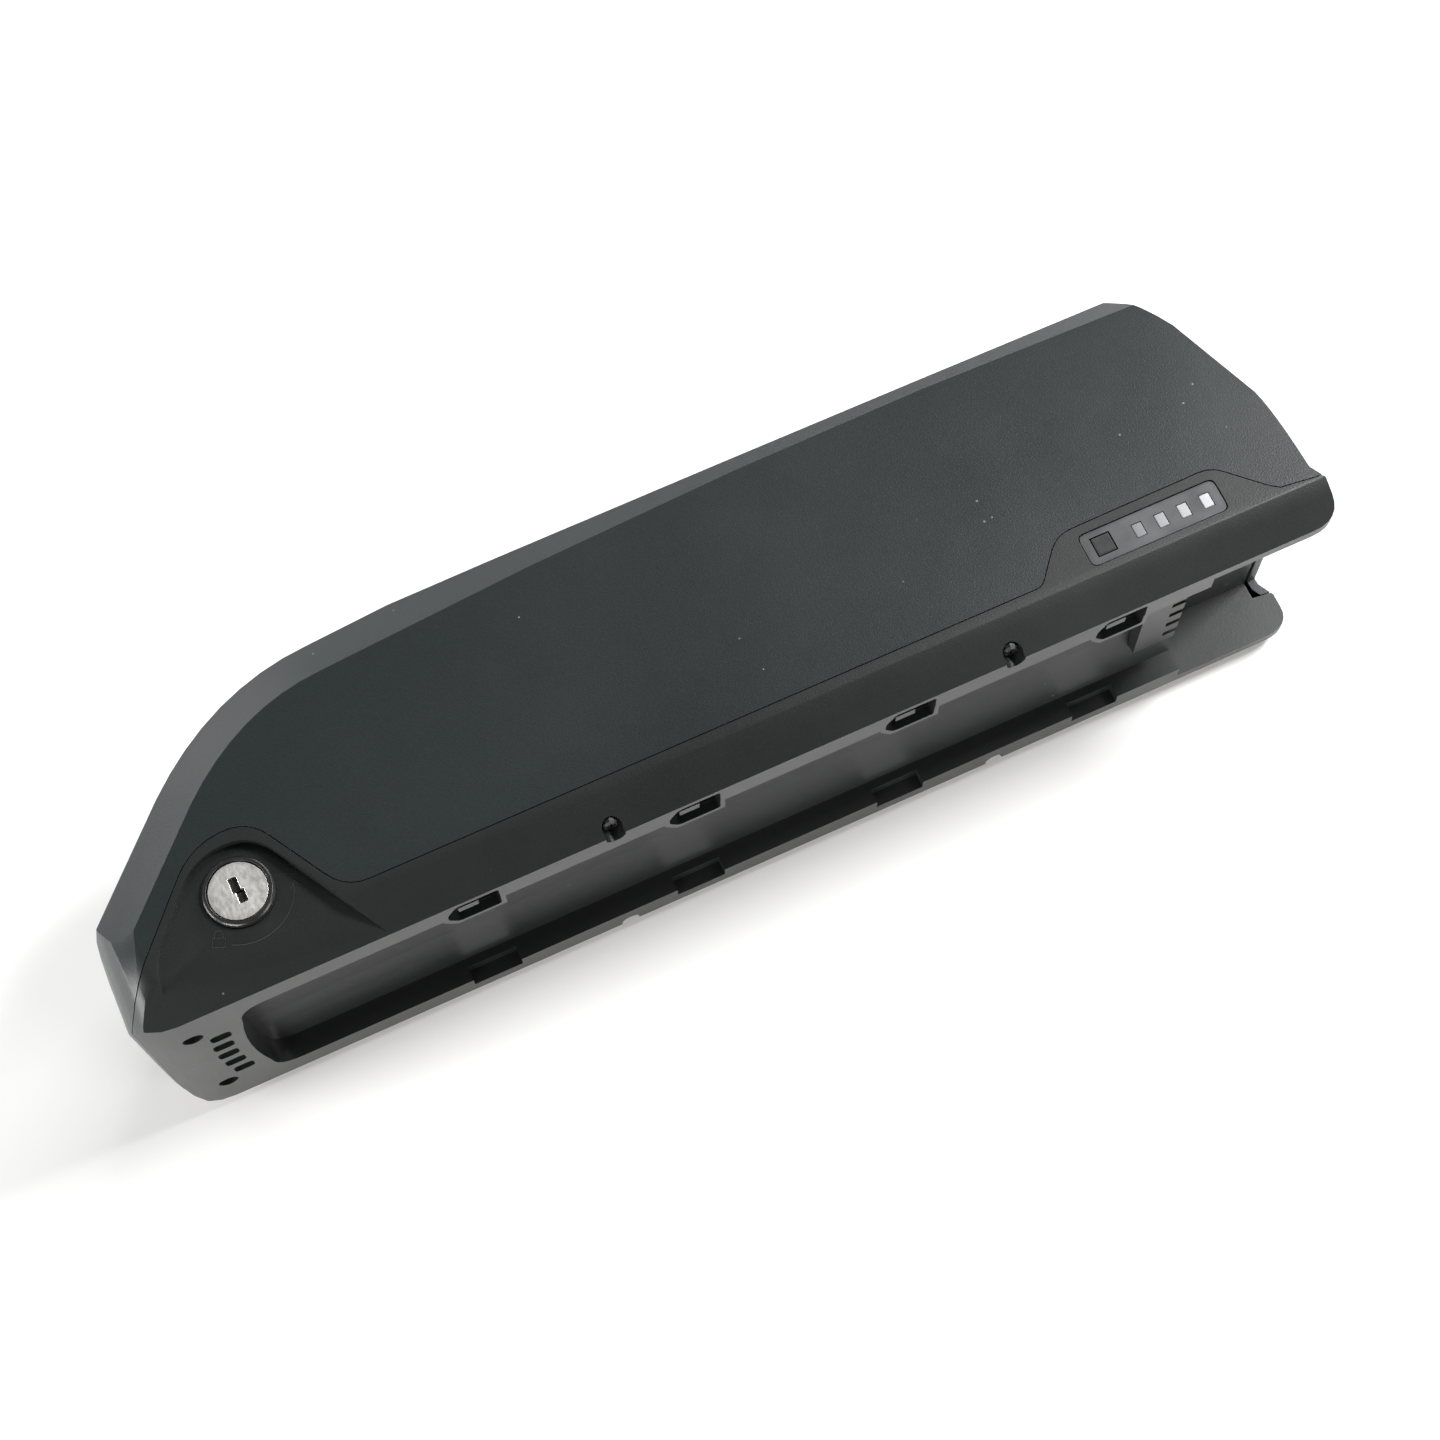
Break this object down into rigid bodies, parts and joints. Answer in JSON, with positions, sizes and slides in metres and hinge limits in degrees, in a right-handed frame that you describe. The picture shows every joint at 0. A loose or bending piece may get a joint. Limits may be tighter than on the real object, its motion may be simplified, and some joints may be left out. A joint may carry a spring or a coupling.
{
  "type": "battery pack",
  "caption": "Rail-mounted lithium battery pack for an electric bicycle: two-part moulded case with key lock, latch bolt, hook pockets, charge indicator and connector bay.",
  "frame": {"origin": "centre of the bounding box's underside, the far side face it lies on", "axes": "X along the pack from the lock end to the connector end, -Y out of the rail channel, +Z out of the side face with the lock"},
  "size_m": [0.3659, 0.094, 0.091],
  "materials": {
    "upper_housing": "fine grained satin moulded plastic, dark grey with a green cast",
    "lower_tray": "fine grained satin moulded plastic, dark grey with a green cast",
    "seam_seal": "black rubber",
    "lock_bezel": "smooth black plastic",
    "lock_barrel": "zinc plated, slightly dull",
    "lock_nut": "zinc plated, slightly dull",
    "indicator_window": "smooth tinted window panel",
    "indicator_board": "green circuit board",
    "indicator_led_1": "milky light window",
    "indicator_led_2": "milky light window",
    "indicator_led_3": "milky light window",
    "indicator_led_4": "milky light window",
    "button_switch": "smooth black plastic",
    "discharge_socket": "smooth black plastic",
    "discharge_contact_1": "plain brass",
    "discharge_contact_2": "plain brass",
    "discharge_contact_3": "plain brass",
    "discharge_contact_4": "plain brass",
    "discharge_contact_5": "plain brass",
    "charge_socket": "smooth black plastic",
    "charge_pin": "plain brass",
    "cell_group_01": "shrink sleeve",
    "cell_group_02": "shrink sleeve",
    "cell_group_03": "shrink sleeve",
    "cell_group_04": "shrink sleeve",
    "cell_group_05": "shrink sleeve",
    "cell_group_06": "shrink sleeve",
    "cell_group_07": "shrink sleeve",
    "cell_group_08": "shrink sleeve",
    "cell_group_09": "shrink sleeve",
    "cell_group_10": "shrink sleeve",
    "cell_group_11": "shrink sleeve",
    "cell_group_12": "shrink sleeve",
    "cell_group_13": "shrink sleeve",
    "cell_holder_near": "plain moulded plastic",
    "cell_holder_far": "plain moulded plastic",
    "insulation_near": "pressed paper",
    "insulation_far": "pressed paper",
    "foam_pad_near": "black rubber",
    "foam_pad_far": "black rubber",
    "vent_membrane": "pressed paper",
    "bms_board": "green circuit board",
    "bms_heat_sink": "plain",
    "fuse": "smooth black plastic",
    "positive_lead": "red insulation",
    "negative_lead": "black rubber",
    "housing_screw_1": "zinc plated, slightly dull",
    "housing_screw_2": "zinc plated, slightly dull",
    "housing_screw_3": "zinc plated, slightly dull",
    "housing_screw_4": "zinc plated, slightly dull",
    "housing_screw_5": "zinc plated, slightly dull",
    "housing_screw_6": "zinc plated, slightly dull",
    "lock_plug": "bright plated metal, finely brushed",
    "lock_cam": "zinc plated, slightly dull",
    "lock_bolt": "bright plated metal, finely brushed",
    "power_button": "black rubber",
    "charge_port_cap": "black rubber"
  },
  "bodies": {
    "case": {"upper_housing": "upper_housing", "lower_tray": "lower_tray", "seam_seal": "seam_seal", "lock_bezel": "lock_bezel", "lock_barrel": "lock_barrel", "lock_nut": "lock_nut", "indicator_window": "indicator_window", "indicator_board": "indicator_board", "indicator_led_1": "indicator_led_1", "indicator_led_2": "indicator_led_2", "indicator_led_3": "indicator_led_3", "indicator_led_4": "indicator_led_4", "button_switch": "button_switch", "discharge_socket": "discharge_socket", "discharge_contact_1": "discharge_contact_1", "discharge_contact_2": "discharge_contact_2", "discharge_contact_3": "discharge_contact_3", "discharge_contact_4": "discharge_contact_4", "discharge_contact_5": "discharge_contact_5", "charge_socket": "charge_socket", "charge_pin": "charge_pin", "cell_group_01": "cell_group_01", "cell_group_02": "cell_group_02", "cell_group_03": "cell_group_03", "cell_group_04": "cell_group_04", "cell_group_05": "cell_group_05", "cell_group_06": "cell_group_06", "cell_group_07": "cell_group_07", "cell_group_08": "cell_group_08", "cell_group_09": "cell_group_09", "cell_group_10": "cell_group_10", "cell_group_11": "cell_group_11", "cell_group_12": "cell_group_12", "cell_group_13": "cell_group_13", "cell_holder_near": "cell_holder_near", "cell_holder_far": "cell_holder_far", "insulation_near": "insulation_near", "insulation_far": "insulation_far", "foam_pad_near": "foam_pad_near", "foam_pad_far": "foam_pad_far", "vent_membrane": "vent_membrane", "bms_board": "bms_board", "bms_heat_sink": "bms_heat_sink", "fuse": "fuse", "positive_lead": "positive_lead", "negative_lead": "negative_lead", "housing_screw_1": "housing_screw_1", "housing_screw_2": "housing_screw_2", "housing_screw_3": "housing_screw_3", "housing_screw_4": "housing_screw_4", "housing_screw_5": "housing_screw_5", "housing_screw_6": "housing_screw_6"},
    "lock": {"lock_plug": "lock_plug", "lock_cam": "lock_cam"},
    "bolt": {"lock_bolt": "lock_bolt"},
    "button": {"power_button": "power_button"},
    "cap": {"charge_port_cap": "charge_port_cap"}
  },
  "joints": [
    {"name": "lock_turn", "type": "hinge", "parent": "case", "child": "lock", "pos_m": [-0.1385, -0.02, 0.0895], "axis": [0, 0, 1], "range_deg": [-0.5, 90.5]},
    {"name": "bolt_slide", "type": "slide", "parent": "case", "child": "bolt", "axis": [0, -1, 0], "range_m": [0, 0.006]},
    {"name": "button_press", "type": "slide", "parent": "case", "child": "button", "axis": [0, 0, -1], "range_m": [0, 0.0006], "stiffness_N_per_m": 500, "springref_m": -0.0002},
    {"name": "charge_cap_hinge", "type": "hinge", "parent": "case", "child": "cap", "pos_m": [0.16813, 0.02243, 0.0455], "axis": [0, 0, 1], "range_deg": [0, 100]}
  ],
  "couplings": [
    {"joint": "lock_turn", "follows": "bolt_slide", "rad_per_m": 261.8}
  ]
}
